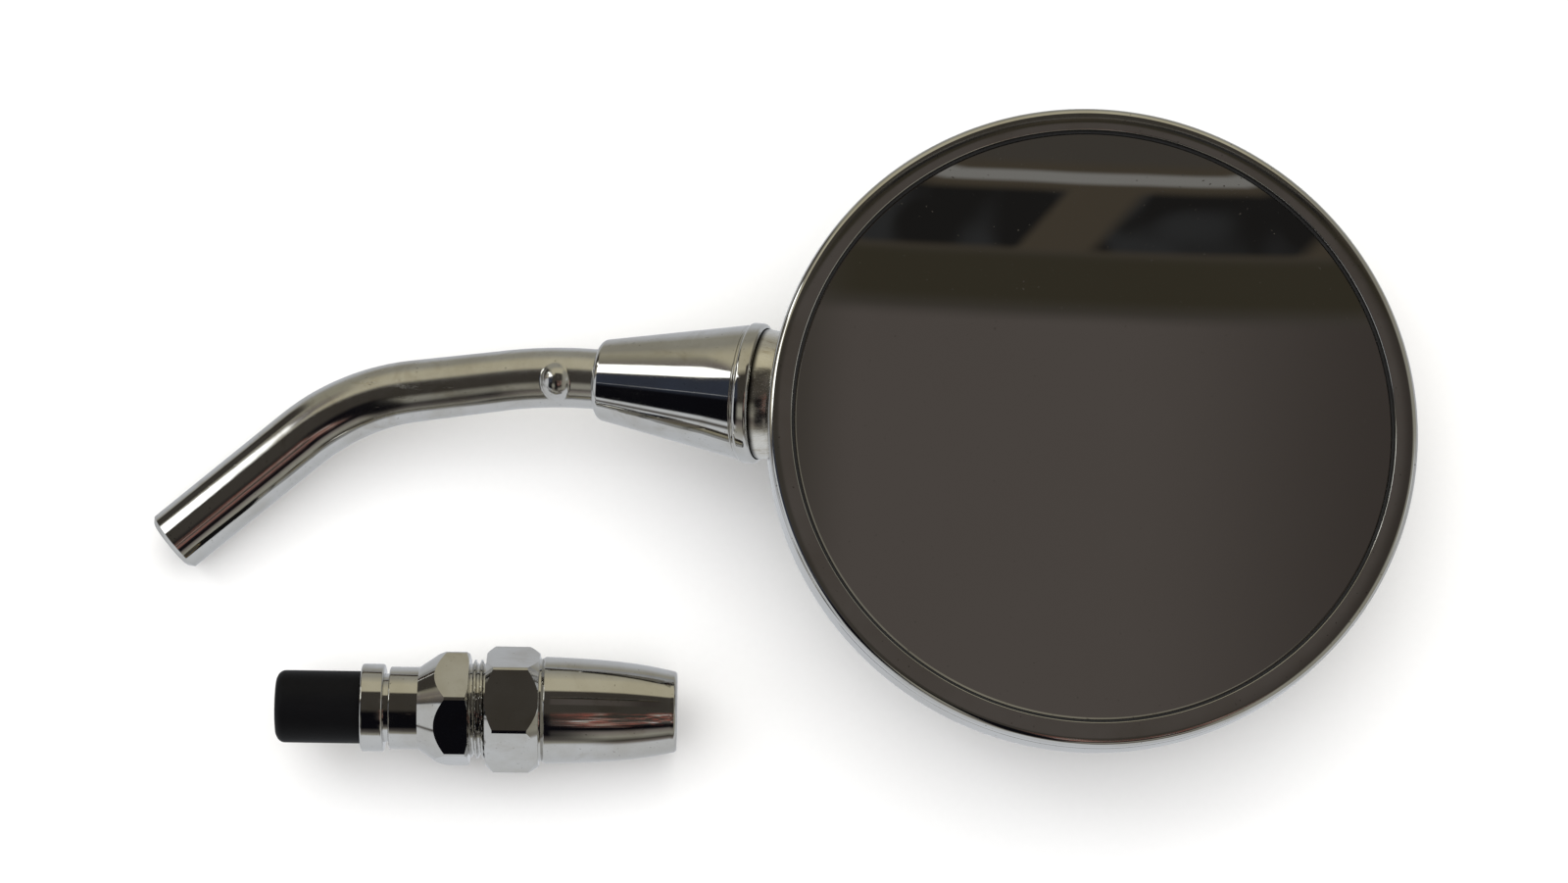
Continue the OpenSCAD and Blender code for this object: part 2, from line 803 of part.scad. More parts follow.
module draw_bolt() {
    head_a = bolt_seat_a + bolt_washer_t;
    socket_r = 0.4 * draw_bolt_d / cos(30);
    color([0.3, 0.3, 0.32])
        in_clamp()
            difference() {
                union() {
                    translate([0, 0, wedge_a])
                        cylinder(d = draw_bolt_d, h = head_a - wedge_a);
                    translate([0, 0, head_a])
                        cylinder(r = 0.85 * draw_bolt_d, h = draw_head_h);
                }
                translate([0, 0, head_a + draw_head_h - draw_socket_l])
                    cylinder(r = socket_r, h = 2 * draw_head_h, $fn = 6);
            }
}

module bolt_washer() {
    color([0.6, 0.6, 0.62])
        in_clamp()
            ring(body_bore_r - washer_play, draw_bolt_d / 2 + washer_play,
                bolt_seat_a, bolt_seat_a + bolt_washer_t);
}

module expander_wedge() {
    color([0.78, 0.66, 0.36])
        in_clamp()
            difference() {
                translate([0, 0, wedge_a])
                    cylinder(r1 = wedge_r, r2 = wedge_r - wedge_slope * wedge_l, h = wedge_l);
                translate([0, 0, wedge_a - cut])
                    cylinder(r = draw_bolt_d / 2 + slip, h = wedge_l + 2 * cut);
            }
}

module collet() {
    tail_a = collet_collar_a - collet_tail_l;
    slot_a = collet_collar_a - slot_back;
    color([0.8, 0.68, 0.38])
        in_clamp()
            difference() {
                rotate_extrude()
                    polygon([
                        [stem_bore_r, tail_a], [tail_r - tail_chamfer, tail_a],
                        [tail_r, tail_a + tail_chamfer],
                        [tail_r, collet_collar_a], [collet_collar_r, collet_collar_a],
                        [collet_collar_r, collet_collar_a + collet_collar_l],
                        [collet_end_r, collet_end_a], [stem_bore_r, collet_end_a],
                    ]);
                for (turn = [0, 90])
                    rotate([0, 0, turn])
                        translate([-far / 2, -collet_slot / 2, slot_a])
                            cube([far, collet_slot, far]);
            }
}

module clamp_nut() {
    head_a = collet_collar_a + collet_collar_l;
    color([0.74, 0.75, 0.77])
        in_clamp()
            difference() {
                union() {
                    hexagon(nut_hex, nut_a, nose_a, 2 * edge_chamfer, true);
                    rotate_extrude($fn = 120)
                        nose_section();
                }
                rotate_extrude()
                    polygon([
                        [0, nut_a - cut], [nut_bore_r, nut_a - cut], [nut_bore_r, head_a],
                        [collet_collar_r + taper_gap, head_a], [collet_end_r + taper_gap, collet_end_a],
                        [nose_bore_r, collet_end_a + 1], [nose_bore_r, clamp_l + cut],
                        [0, clamp_l + cut],
                    ]);
            }
}

// Half section of the nut's nose: a shallow ogive with a rounded rim
module nose_section() {
    rim_r = (nose_end_r - nose_bore_r) / 2 + rim_extra;
    rim_a = clamp_l - rim_r;
    start_a = nose_a + nose_start_a;
    step_r = nose_r - nose_step;
    steps = 14;
    polygon(concat(
        [[0, nose_a - cut], [step_r, nose_a - cut], [step_r, nose_a + nose_step_a], [nose_r, start_a]],
        [
            for (i = [1:steps])
                let (t = i / steps, a = start_a + t * (rim_a - start_a))
                [nose_r - (nose_r - nose_end_r) * (0.3 * t + 0.7 * pow(t, 3)), a]
        ],
        arc([nose_end_r - rim_r, rim_a], rim_r, 0, 90),
        [[0, clamp_l]]
    ));
}

stem();
cone_housing();
seat_ring();
disc_springs();
pivot_bolt();
domed_washer();
thrust_washer();
lock_nut();
ball_liner();
neck_cup();
back_shell();
bezel_ring();
mirror_glass();
glass_gasket();
foam_pad();
backing_plate();
clamp_body();
end_collar();
rubber_sleeve();
draw_bolt();
bolt_washer();
expander_wedge();
collet();
clamp_nut();
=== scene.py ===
# Round bar-end mirror with its clamp beside it: camera, studio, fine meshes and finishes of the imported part
import math

import bmesh
import bpy
import numpy as np
from mathutils import Matrix, Vector


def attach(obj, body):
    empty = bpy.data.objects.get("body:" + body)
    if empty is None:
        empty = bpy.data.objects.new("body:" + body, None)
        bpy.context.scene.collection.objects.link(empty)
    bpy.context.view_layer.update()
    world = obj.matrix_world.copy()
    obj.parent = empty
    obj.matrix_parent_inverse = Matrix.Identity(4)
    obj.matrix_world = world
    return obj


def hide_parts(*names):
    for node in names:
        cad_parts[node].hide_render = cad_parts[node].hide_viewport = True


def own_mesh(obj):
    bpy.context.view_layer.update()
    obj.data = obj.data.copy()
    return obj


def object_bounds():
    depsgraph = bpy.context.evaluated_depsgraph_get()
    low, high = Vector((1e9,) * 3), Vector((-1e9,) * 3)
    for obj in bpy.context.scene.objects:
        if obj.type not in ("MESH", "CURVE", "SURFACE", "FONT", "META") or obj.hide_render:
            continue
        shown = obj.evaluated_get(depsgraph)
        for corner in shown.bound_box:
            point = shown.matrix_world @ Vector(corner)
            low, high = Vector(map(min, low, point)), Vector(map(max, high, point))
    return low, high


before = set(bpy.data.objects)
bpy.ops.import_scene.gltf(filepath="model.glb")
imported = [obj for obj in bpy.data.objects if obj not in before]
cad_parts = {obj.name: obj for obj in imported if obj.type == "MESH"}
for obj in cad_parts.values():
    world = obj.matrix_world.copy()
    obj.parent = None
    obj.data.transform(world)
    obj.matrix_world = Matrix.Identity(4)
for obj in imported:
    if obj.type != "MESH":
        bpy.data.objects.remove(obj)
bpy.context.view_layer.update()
mm = 0.001
fullTurn = 2 * math.pi


# Where things stand, in millimetres and degrees
pose = {
    "dip": 5.8,  # the head leans over to its right
    "heading": 7.0,  # the arm's heading, clockwise from +X
    "rise": 7.63121,  # the arm rises towards the ball
    "nod": 3.98053,  # the clamp's nose points down a little
    "ball": (-2.2257, 7.21725, 16.9081),
    "clampEnd": (-75.8081, -40.2175, 11.2215),
    "ballOut": 0.7,  # the ball's middle stands this far outside the head's edge
    "ballDown": 12.9,  # and this far behind the bezel's face
    "headRadius": 49.0,
}


def turn(degrees, axis):
    return Matrix.Rotation(math.radians(degrees), 4, axis)


def spot(point):
    return Matrix.Translation([v * mm for v in point])


armPlace = spot(pose["ball"]) @ turn(-pose["heading"], "Z") @ turn(90 - pose["rise"], "Y")
headTurn = turn(-pose["heading"], "Z") @ turn(pose["dip"], "Y")
ballInHead = Vector((-pose["headRadius"] - pose["ballOut"], 0, -pose["ballDown"])) * mm
headPlace = Matrix.Translation(Vector(pose["ball"]) * mm - headTurn @ ballInHead) @ headTurn
clampPlace = spot(pose["clampEnd"]) @ turn(90 + pose["nod"], "Y")


# Camera
shot = {
    "azimuth": -12.877, "elevation": 76.633, "roll": -12.534, "target": (0.299, 3.678), "distance": 687.46,
    "focalPixels": 4500, "imageWidth": 1600, "sensor": 36, "clip": (0.01, 20),
}


def makeCamera():
    az, el, roll = (math.radians(shot[k]) for k in ("azimuth", "elevation", "roll"))
    ahead = Vector((math.sin(az) * math.cos(el), math.cos(az) * math.cos(el), -math.sin(el)))
    right = Vector((math.cos(az), -math.sin(az), 0))
    up = right.cross(ahead)
    across = right * math.cos(roll) + up * math.sin(roll)
    upright = up * math.cos(roll) - right * math.sin(roll)
    data = bpy.data.cameras.new("camera")
    data.sensor_width = shot["sensor"]
    data.lens = shot["focalPixels"] / shot["imageWidth"] * shot["sensor"]
    data.clip_start, data.clip_end = shot["clip"]
    camera = bpy.data.objects.new("camera", data)
    bpy.context.scene.collection.objects.link(camera)
    basis = Matrix((across, upright, -ahead)).transposed().to_4x4()
    place = Vector((*shot["target"], 0)) - ahead * shot["distance"]
    camera.matrix_world = Matrix.Translation(place * mm) @ basis
    bpy.context.scene.camera = camera


makeCamera()
print("camera set")


# Shader helpers
class Wire:  # one output socket, so that node maths can be written as expressions
    def __init__(self, paint, socket):
        self.paint = paint
        self.socket = socket

    def maths(self, operation, first, second):
        return self.paint.node("ShaderNodeMath", {"operation": operation}, {0: first, 1: second})

    def __add__(self, other):
        return self.maths("ADD", self, other)

    def __radd__(self, other):
        return self.maths("ADD", other, self)

    def __sub__(self, other):
        return self.maths("SUBTRACT", self, other)

    def __rsub__(self, other):
        return self.maths("SUBTRACT", other, self)

    def __mul__(self, other):
        return self.maths("MULTIPLY", self, other)

    def __rmul__(self, other):
        return self.maths("MULTIPLY", other, self)


class Paint:  # the node tree of one material or of the world
    def __init__(self, owner):
        owner.use_nodes = True
        self.tree = owner.node_tree
        self.tree.nodes.clear()

    def node(self, kind, settings=None, feeds=None, out=0):
        made = self.tree.nodes.new(kind)
        for key, value in (settings or {}).items():
            if key == "stops":
                self.setStops(made.color_ramp, value)
            else:
                setattr(made, key, value)
        for key, value in (feeds or {}).items():
            if isinstance(value, Wire):
                self.tree.links.new(value.socket, made.inputs[key])
            else:
                made.inputs[key].default_value = value
        return Wire(self, made.outputs[out]) if len(made.outputs) else made

    def setStops(self, ramp, stops):
        while len(ramp.elements) > 1:
            ramp.elements.remove(ramp.elements[-1])
        ramp.elements[0].position = stops[0][0]
        ramp.elements[0].color = colour(stops[0][1])
        for position, value in stops[1:]:
            ramp.elements.new(position).color = colour(value)

    def ramp(self, factor, stops):
        return self.node("ShaderNodeValToRGB", {"stops": stops}, {"Fac": factor})

    def step(self, value, low, high):  # 0 below low, 1 above high, smooth between
        return self.node("ShaderNodeMapRange", {"interpolation_type": "SMOOTHSTEP"},
                         {"Value": value, "From Min": low, "From Max": high})

    def own(self):  # the piece's own frame, kept in its mesh
        return self.node("ShaderNodeAttribute", {"attribute_name": "local"}, out=1)

    def where(self, output):  # one of Blender's own coordinates
        return self.node("ShaderNodeTexCoord", out=output)

    def part(self, vector, number):
        return self.node("ShaderNodeSeparateXYZ", {}, {0: vector}, out=number)

    def stretch(self, vector, scale):
        return self.node("ShaderNodeVectorMath", {"operation": "MULTIPLY"}, {0: vector, 1: scale})

    def noise(self, vector, scale, detail=3.0, rough=0.5, twist=0.0):
        return self.node("ShaderNodeTexNoise", {},
                         {"Vector": vector, "Scale": scale, "Detail": detail, "Roughness": rough,
                          "Distortion": twist})

    def blend(self, factor, first, second):
        return self.node("ShaderNodeMix", {"data_type": "RGBA"},
                         {0: factor, 6: colour(first), 7: colour(second)}, out=2)

    def bump(self, height, strength, depth):
        return self.node("ShaderNodeBump", {},
                         {"Height": height, "Strength": strength, "Distance": depth * mm})

    def finish(self, **sockets):
        feeds = {key.replace("_", " "): colour(value) if "Color" in key else value
                 for key, value in sockets.items()}
        shader = self.node("ShaderNodeBsdfPrincipled", {}, feeds)
        self.node("ShaderNodeOutputMaterial", {}, {"Surface": shader})


def colour(value):
    if isinstance(value, Wire):
        return value
    return value if len(value) == 4 else (*value, 1.0)


finishes = {}


def newFinish(name):
    finishes[name] = bpy.data.materials.new(name)
    return Paint(finishes[name])


# Chrome: bright plate with clouds, fine grain, worn patches of scratches, and pits
chromeLook = {
    "tone": (0.60, 0.595, 0.58), "shade": (0.52, 0.505, 0.47), "stain": (0.34, 0.30, 0.23),
    "pit": (0.10, 0.085, 0.07),
    "cloud": 90, "fine": 1400, "streak": 620, "patch": 150, "pits": 2600, "wave": 210,  # noise scales
    "fineRun": (1, 1, 0.25), "streakRun": (3, 3, 0.1), "worn": 0.45, "relief": 0.06,
}
chromes = {
    "clampChrome": {"polish": 0.04, "haze": 0.09, "scuff": 0.16, "stain": 0.25, "ripple": 0.17,
                    "scale": 1.0},
    "headChrome": {"polish": 0.04, "haze": 0.09, "scuff": 0.08, "stain": 0.12, "ripple": 0.12, "scale": 0.6},
    "stemChrome": {"polish": 0.14, "haze": 0.21, "scuff": 0.22, "stain": 0.3, "ripple": 0.26, "scale": 1.0,
                   "clear": (-72, -52)},  # better polished where its own height is below this stretch
}


def chromeFinish(name, polish, haze, scuff, stain, ripple, scale, clear=None):
    look, paint = chromeLook, newFinish(name)
    at = paint.own()
    cloud = paint.noise(at, look["cloud"] * scale, 4, 0.6)
    fine = paint.noise(paint.stretch(at, look["fineRun"]), look["fine"] * scale, 2, 0.6)
    streak = paint.noise(paint.stretch(at, look["streakRun"]), look["streak"] * scale, 3, 0.7)
    patch = paint.step(paint.noise(at, look["patch"] * scale, 3, 0.6, 0.6), 0.54, 0.70)
    scratch = paint.step(streak, 0.58, 0.70) * patch
    pits = paint.step(paint.noise(at, look["pits"] * scale, 1, 0.5), 0.72, 0.78)
    tone = paint.blend(paint.step(cloud, 0.35, 0.7), look["tone"], look["shade"])
    tone = paint.blend(patch * stain, tone, look["stain"])
    tone = paint.blend(pits * 0.5, tone, look["pit"])
    rough = polish + fine * 0.03 + paint.step(cloud, 0.45, 0.75) * (haze - polish)
    if clear:
        share = paint.step(paint.part(at, 2), clear[0] * mm, clear[1] * mm)
        rough = rough * (look["worn"] + (1 - look["worn"]) * share)
    rough = rough + scratch * scuff
    wave = paint.noise(at, look["wave"] * scale, 1, 0.4)
    relief = wave * 0.7 + fine * 0.05 - scratch * (0.6 * scuff) - pits * 0.1
    paint.finish(Base_Color=tone, Metallic=1.0, Roughness=rough,
                 Normal=paint.bump(relief, ripple, look["relief"]))


# The neck is duller, drawn and blotched, with a painted shade where it goes into the cone: the shadow of the
# gap behind the cone's lip
neckLook = {
    "streak": 420, "blot": 240, "run": (2.0, 2.0, 0.5), "polish": 0.16, "dull": 0.16,
    "stops": ((0.34, (0.46, 0.41, 0.33)), (0.45, (0.68, 0.655, 0.60)),
              (0.60, (0.78, 0.765, 0.72)), (0.72, (0.58, 0.54, 0.47))),
    # dark and the heights after it: the colour of the painted shade by the cone's mouth, and where it runs
    "dark": (0.03, 0.028, 0.025), "gapShadeTo": (0.1, 0.9), "relief": 0.08,
}


def neckFinish():
    look, paint = neckLook, newFinish("neckChrome")
    at = paint.own()
    streak = paint.noise(paint.stretch(at, look["run"]), look["streak"], 4, 0.7, 0.5)
    blot = paint.noise(at, look["blot"], 4, 0.65, 0.8)
    tone = paint.ramp(streak * 0.5 + blot * 0.5, look["stops"])
    # painted shade: the neck's colour goes dark near the cone's mouth, standing for the shadow in the gap
    # under the lip
    start, end = (height * mm for height in look["gapShadeTo"])
    tone = paint.blend(paint.step(paint.part(at, 2), start, end), look["dark"], tone)
    rough = look["polish"] + paint.step(streak, 0.4, 0.7) * look["dull"]
    paint.finish(Base_Color=tone, Metallic=1.0, Roughness=rough,
                 Normal=paint.bump(streak * 0.6 + blot * 0.5, 0.35, look["relief"]))


# The mirror's face, with a breath of haze and specks of dust
faceLook = {
    "haze": 26, "dust": 1900, "clear": (0.66, 0.65, 0.64), "hazed": (0.62, 0.605, 0.585),
    "speck": (0.5, 0.5, 0.5), "rough": 0.006, "hazeRough": 0.008, "dustRough": 0.2,
}


def faceFinish():
    look, paint = faceLook, newFinish("mirrorFace")
    at = paint.own()
    haze = paint.noise(at, look["haze"], 3, 0.6)
    dust = paint.step(paint.noise(at, look["dust"], 1, 0.5), 0.74, 0.80)
    tone = paint.blend(dust * 0.35, paint.blend(haze, look["clear"], look["hazed"]), look["speck"])
    paint.finish(Base_Color=tone, Metallic=1.0,
                 Roughness=look["rough"] + haze * look["hazeRough"] + dust * look["dustRough"])


# Rubber, foam and plastic: dark and light tone, roughness, grain, relief, shine
softs = {
    "sleeveRubber": ((0.0015, 0.0015, 0.002), (0.004, 0.004, 0.0045), 0.5, 1900, 0.05, 0.12),
    "rimRubber": ((0.008, 0.008, 0.008), (0.016, 0.016, 0.017), 0.5, 2200, 0.03, 0.5),
    "padFoam": ((0.03, 0.03, 0.035), (0.07, 0.07, 0.075), 0.85, 1500, 0.25, 0.5),
    "blackPlastic": ((0.012, 0.012, 0.013), (0.022, 0.022, 0.024), 0.38, 2600, 0.03, 0.5),
    "creamNylon": ((0.62, 0.58, 0.48), (0.74, 0.71, 0.62), 0.4, 1200, 0.03, 0.5),
}


def softFinish(name, dark, light, rough, scale, depth, shine):
    paint = newFinish(name)
    at = paint.own() if name == "sleeveRubber" else paint.where("Object")
    grain = paint.noise(at, scale, 4, 0.6)
    cloud = paint.noise(at, scale * 0.06, 3, 0.6)
    tone = paint.blend(cloud * 0.7 + grain * 0.3, dark, light)
    paint.finish(Base_Color=tone, Roughness=rough + cloud * 0.14 - grain * 0.05, Specular_IOR_Level=shine,
                 Normal=paint.bump(grain, 0.5, depth))


# Turned metals inside: fresh and worn tone, roughness
metals = {
    "turnedSteel": ((0.50, 0.50, 0.51), (0.42, 0.41, 0.41), 0.22),
    "bluedSpring": ((0.30, 0.30, 0.33), (0.22, 0.21, 0.23), 0.25),
    "blackBolt": ((0.16, 0.16, 0.17), (0.10, 0.095, 0.095), 0.3),
    "turnedBrass": ((0.66, 0.50, 0.22), (0.52, 0.38, 0.17), 0.24),
}
metalGrain = {"cut": 700, "cloud": 140, "relief": 0.04}


def metalFinish(name, tone, worn, rough):
    paint = newFinish(name)
    at = paint.where("Object")
    cut = paint.noise(at, metalGrain["cut"], 3, 0.65)
    cloud = paint.noise(at, metalGrain["cloud"], 3, 0.6)
    paint.finish(Base_Color=paint.blend(cloud, tone, worn), Metallic=1.0,
                 Roughness=rough + cut * 0.12, Normal=paint.bump(cut, 0.3, metalGrain["relief"]))


for finishName, look in chromes.items():
    chromeFinish(finishName, **look)
neckFinish()
faceFinish()
for finishName, look in softs.items():
    softFinish(finishName, *look)
for finishName, look in metals.items():
    metalFinish(finishName, *look)
print("finishes made")

nodeFinish = {
    "clampChrome": ["clamp_body", "end_collar", "clamp_nut", "cone_housing"],
    "stemChrome": ["stem"], "headChrome": ["back_shell", "bezel_ring"],
    "neckChrome": ["neck_cup"], "mirrorFace": ["mirror_glass"], "sleeveRubber": ["rubber_sleeve"],
    "rimRubber": ["glass_gasket"], "padFoam": ["foam_pad"], "blackPlastic": ["backing_plate"],
    "creamNylon": ["ball_liner", "seat_ring"], "turnedSteel": ["thrust_washer", "lock_nut", "bolt_washer"],
    "bluedSpring": ["disc_springs"], "blackBolt": ["pivot_bolt", "draw_bolt"],
    "turnedBrass": ["domed_washer", "expander_wedge", "collet"],
}
for finishName, nodeNames in nodeFinish.items():
    for nodeName in nodeNames:
        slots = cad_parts[nodeName].data.materials
        slots.clear()
        slots.append(finishes[finishName])


# Mesh helpers
def linked(name, mesh):
    made = bpy.data.objects.new(name, mesh)
    bpy.context.scene.collection.objects.link(made)
    return made


def drilled(mesh, place, radius, long, sides=96):  # the mesh less a round rod that stands at the place given
    angle = np.arange(sides) * fullTurn / sides
    ring = [(radius * math.cos(a) * mm, radius * math.sin(a) * mm) for a in angle]
    wall = [(k, (k + 1) % sides, sides + (k + 1) % sides, sides + k) for k in range(sides)]
    ends = [tuple(range(sides))[::-1], tuple(range(sides, 2 * sides))]
    rod = bpy.data.meshes.new("rod")
    rod.from_pydata([place @ Vector((x, y, z)) for z in (0, long * mm) for x, y in ring], [], wall + ends)
    whole, tool = (linked(mesh.name, mesh), linked("rod", rod))
    cut = whole.modifiers.new("hole", "BOOLEAN")
    cut.operation, cut.solver, cut.object = "DIFFERENCE", "EXACT", tool
    holed = bpy.data.meshes.new_from_object(whole.evaluated_get(bpy.context.evaluated_depsgraph_get()))
    for thing in (whole, tool):
        bpy.data.objects.remove(thing)
    return holed


def piece(name, rows, place, finish, body, nodes, closed=False, sharp=28, hole=None):
    # rows of points, each row one ring round the piece, skinned with quads
    rows = np.asarray(rows, float) * mm
    count, around = rows.shape[:2]
    faces = []
    for i in range(count if closed else count - 1):
        a, b = i * around, (i + 1) % count * around
        for j in range(around):
            k = (j + 1) % around
            faces.append((a + j, a + k, b + k, b + j))
    mesh = bpy.data.meshes.new(name)
    mesh.from_pydata([tuple(point) for row in rows for point in row], [], faces)
    work = bmesh.new()
    work.from_mesh(mesh)
    bmesh.ops.remove_doubles(work, verts=work.verts, dist=1e-7)
    bmesh.ops.dissolve_degenerate(work, edges=work.edges, dist=1e-8)
    rims = [] if closed else [edge for edge in work.edges if edge.is_boundary]
    if rims:
        bmesh.ops.holes_fill(work, edges=rims, sides=0)
    bmesh.ops.recalc_face_normals(work, faces=work.faces)
    work.to_mesh(mesh)
    work.free()
    if hole:
        mesh = drilled(mesh, *hole)
    own = np.array([v.co for v in mesh.vertices], np.float32)
    mesh.attributes.new("local", "FLOAT_VECTOR", "POINT").data.foreach_set("vector", own.ravel())
    mesh.transform(place)
    mesh.shade_smooth()
    mesh.set_sharp_from_angle(angle=math.radians(sharp))
    mesh.materials.append(finishes[finish])
    made = linked(name, mesh)
    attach(made, body)
    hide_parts(*nodes)
    return made


def rounded(corners, steps=6):
    # a line of (radius, height, fillet) corners, each turned into an arc
    line = []
    for i, (r, z, fillet) in enumerate(corners):
        here = np.array([r, z], float)
        if not fillet or i in (0, len(corners) - 1):
            line.append(here)
            continue
        before = np.array(corners[i - 1][:2], float) - here
        after = np.array(corners[i + 1][:2], float) - here
        u, v = before / np.linalg.norm(before), after / np.linalg.norm(after)
        half = math.acos(np.clip(u @ v, -1, 1)) / 2
        reach = fillet / math.tan(half)
        centre = here + (u + v) / np.linalg.norm(u + v) * fillet / math.sin(half)
        a, b = here + u * reach - centre, here + v * reach - centre
        swing = math.acos(np.clip(a @ b / (fillet * fillet), -1, 1))
        for t in np.arange(steps + 1) / steps:
            line.append(centre + (math.sin((1 - t) * swing) * a + math.sin(t * swing) * b) / math.sin(swing))
    return line


def arc(centre, radius, start, end, steps):
    return [(centre[0] + radius * math.cos(math.radians(a)), centre[1] + radius * math.sin(math.radians(a)))
            for a in np.linspace(start, end, steps + 1)]


def ringAt(radius, height, angle):  # one ring of points, its radius and height told once or point by point
    r, z = np.broadcast_to(radius, angle.shape), np.broadcast_to(height, angle.shape)
    return np.stack([r * np.cos(angle), r * np.sin(angle), z], axis=1)


def lathe(profile, around=192):
    angle = np.arange(around) * fullTurn / around
    return [ringAt(r, z, angle) for r, z in profile]


# Mirror head: the origin is the middle of the bezel's face, and the height runs out of the glass
head = {
    "radius": 49.0, "depth": 24.3, "skirt": 6.5, "corner": 9.3, "wall": 1.2,
    "seam": 0.05, "seamRound": 0.12, "bezelDepth": 2.6, "shoulder": 1.1, "edge": 0.14,
    "glass": 45.0, "glassThick": 2.4, "bulge": 1200.0, "bevel": 0.25, "groove": 0.45, "sink": 0.35,
    "foam": 1.2, "backing": 1.4, "ledge": 1.0, "ledgeWide": 2.6,
    "neckHole": 8.6, "neckReach": 22.0, "around": 288,
}
cornerX = head["radius"] - head["corner"]
backDrop = head["depth"] - head["skirt"]
domeRadius = (cornerX ** 2 + backDrop ** 2 - head["corner"] ** 2) / (2 * (backDrop - head["corner"]))
domeZ = domeRadius - head["depth"]
tangent = math.degrees(math.atan2(cornerX, domeZ + head["skirt"]))
lipRadius = head["glass"] + head["groove"]
plateBack = -head["sink"] - head["glassThick"] - head["foam"] - head["backing"]
bezelBack = plateBack - head["ledge"]


def shellSide(inset, seam):  # from the seam, round the corner and over the back to the middle
    side = [(head["radius"] - inset, seam), (head["radius"] - inset, -head["skirt"])]
    bend = arc((cornerX, -head["skirt"]), head["corner"] - inset, 0, tangent - 90, 20)[1:]
    dome = arc((0, domeZ), domeRadius - inset, tangent - 90, -90, 40)[1:]
    return side + bend + dome


def shellProfile():
    seam = -head["bezelDepth"] - head["seam"]
    outside = shellSide(0, seam - head["seamRound"])
    inside = shellSide(head["wall"], seam)
    return [(head["radius"] - head["seamRound"], seam)] + outside + inside[::-1]


def bezelProfile():
    outer, low = head["radius"], -head["bezelDepth"]
    inner, spigot = lipRadius - head["ledgeWide"], outer - head["wall"] - head["seam"]
    return rounded([
        (lipRadius, plateBack, 0), (lipRadius, 0, head["edge"]), (outer, 0, head["shoulder"]),
        (outer, low, head["edge"]), (spigot, low, 0), (spigot, bezelBack, 0.2), (inner, bezelBack, 0.1),
        (inner, plateBack, 0)], 8)


def glassProfile():
    edge, sink, bevel = head["glass"], head["sink"], head["bevel"]
    drop = math.sqrt(head["bulge"] ** 2 - edge ** 2) + sink
    face = [(r, math.sqrt(head["bulge"] ** 2 - r * r) - drop) for r in np.linspace(0, edge - bevel, 40)]
    back = -sink - head["glassThick"]
    return [(0, back), (edge, back), (edge, -sink - bevel)] + face[::-1]


piece("backShell", lathe(shellProfile(), head["around"]), headPlace, "headChrome", "head",
      ["back_shell"], closed=True,
      hole=(headPlace.inverted() @ armPlace, head["neckHole"], head["neckReach"]))  # for the ball's bolt
piece("bezelRing", lathe(bezelProfile(), head["around"]), headPlace, "headChrome", "head",
      ["bezel_ring"], closed=True)
piece("mirrorGlass", lathe(glassProfile(), head["around"]), headPlace, "mirrorFace", "head",
      ["mirror_glass"])
print("head made")


# Ball neck: the origin is the ball's middle, and the height runs into the head
neck = {
    "radius": 9.9, "wall": 2.0, "poleHole": 4.9, "boss": 9.45, "sunk": 0.6, "search": (0.2, 22, 400),
    "around": 192,
}


def headDepth(points):
    # how far points of the arm's frame lie inside the head's outer form, in mm
    toHead = headPlace.inverted() @ armPlace
    x, y, z = np.array(toHead.to_3x3()) @ np.asarray(points).T + np.array(toHead.translation)[:, None] / mm
    r = np.hypot(x, y)
    toCorner = head["corner"] - np.hypot(r - cornerX, z + head["skirt"])
    toDome = domeRadius - np.hypot(r, z - domeZ)
    underDome = r * (domeZ + head["skirt"]) < cornerX * (domeZ - z)
    return np.where(z > -head["skirt"], head["radius"] - r, np.where(underDome, toDome, toCorner))


def neckRows():
    angle = np.arange(neck["around"]) * fullTurn / neck["around"]
    ball, bore, hole, boss = neck["radius"], neck["radius"] - neck["wall"], neck["poleHole"], neck["boss"]
    startOut, startIn, endOut = (math.degrees(math.acos(v)) for v in (hole / ball, hole / bore, boss / ball))
    outer = [ringAt(r, z, angle) for r, z in arc((0, 0), ball, -startOut, endOut, 56)]
    inner = [ringAt(r, z, angle) for r, z in arc((0, 0), bore, -startIn, 0, 30)]
    bossFrom = outer[-1][:, 2]
    first, last, tries = neck["search"]
    reach = np.linspace(bossFrom[0] + first, last, tries)
    tip = np.full(len(angle), float(last))
    for i, a in enumerate(angle):
        line = ringAt(boss, reach, np.full(tries, a))
        inside = np.nonzero(headDepth(line) > neck["sunk"])[0]
        if len(inside):
            tip[i] = reach[inside[0]]
    for share in np.linspace(0.2, 1, 6):
        outer.append(ringAt(boss, bossFrom * (1 - share) + tip * share, angle))
    return outer + [ringAt(bore, tip, angle)] + inner[::-1]


piece("ballNeck", neckRows(), armPlace, "neckChrome", "head", ["neck_cup"], closed=True,
      sharp=40)


# Cone housing, in the same frame
cone = {
    "long": 25.6, "mouth": 10.7, "narrow": 6.3, "endRound": 1.3, "lip": 2.5, "edge": 0.6, "lipRound": 0.55,
    "step": 0.2, "ballSeat": 10.05, "pocket": 7.45, "pocketEnd": -12.6, "webEnd": -14.2, "boltHole": 2.3,
    "rootBore": 4.625,
}


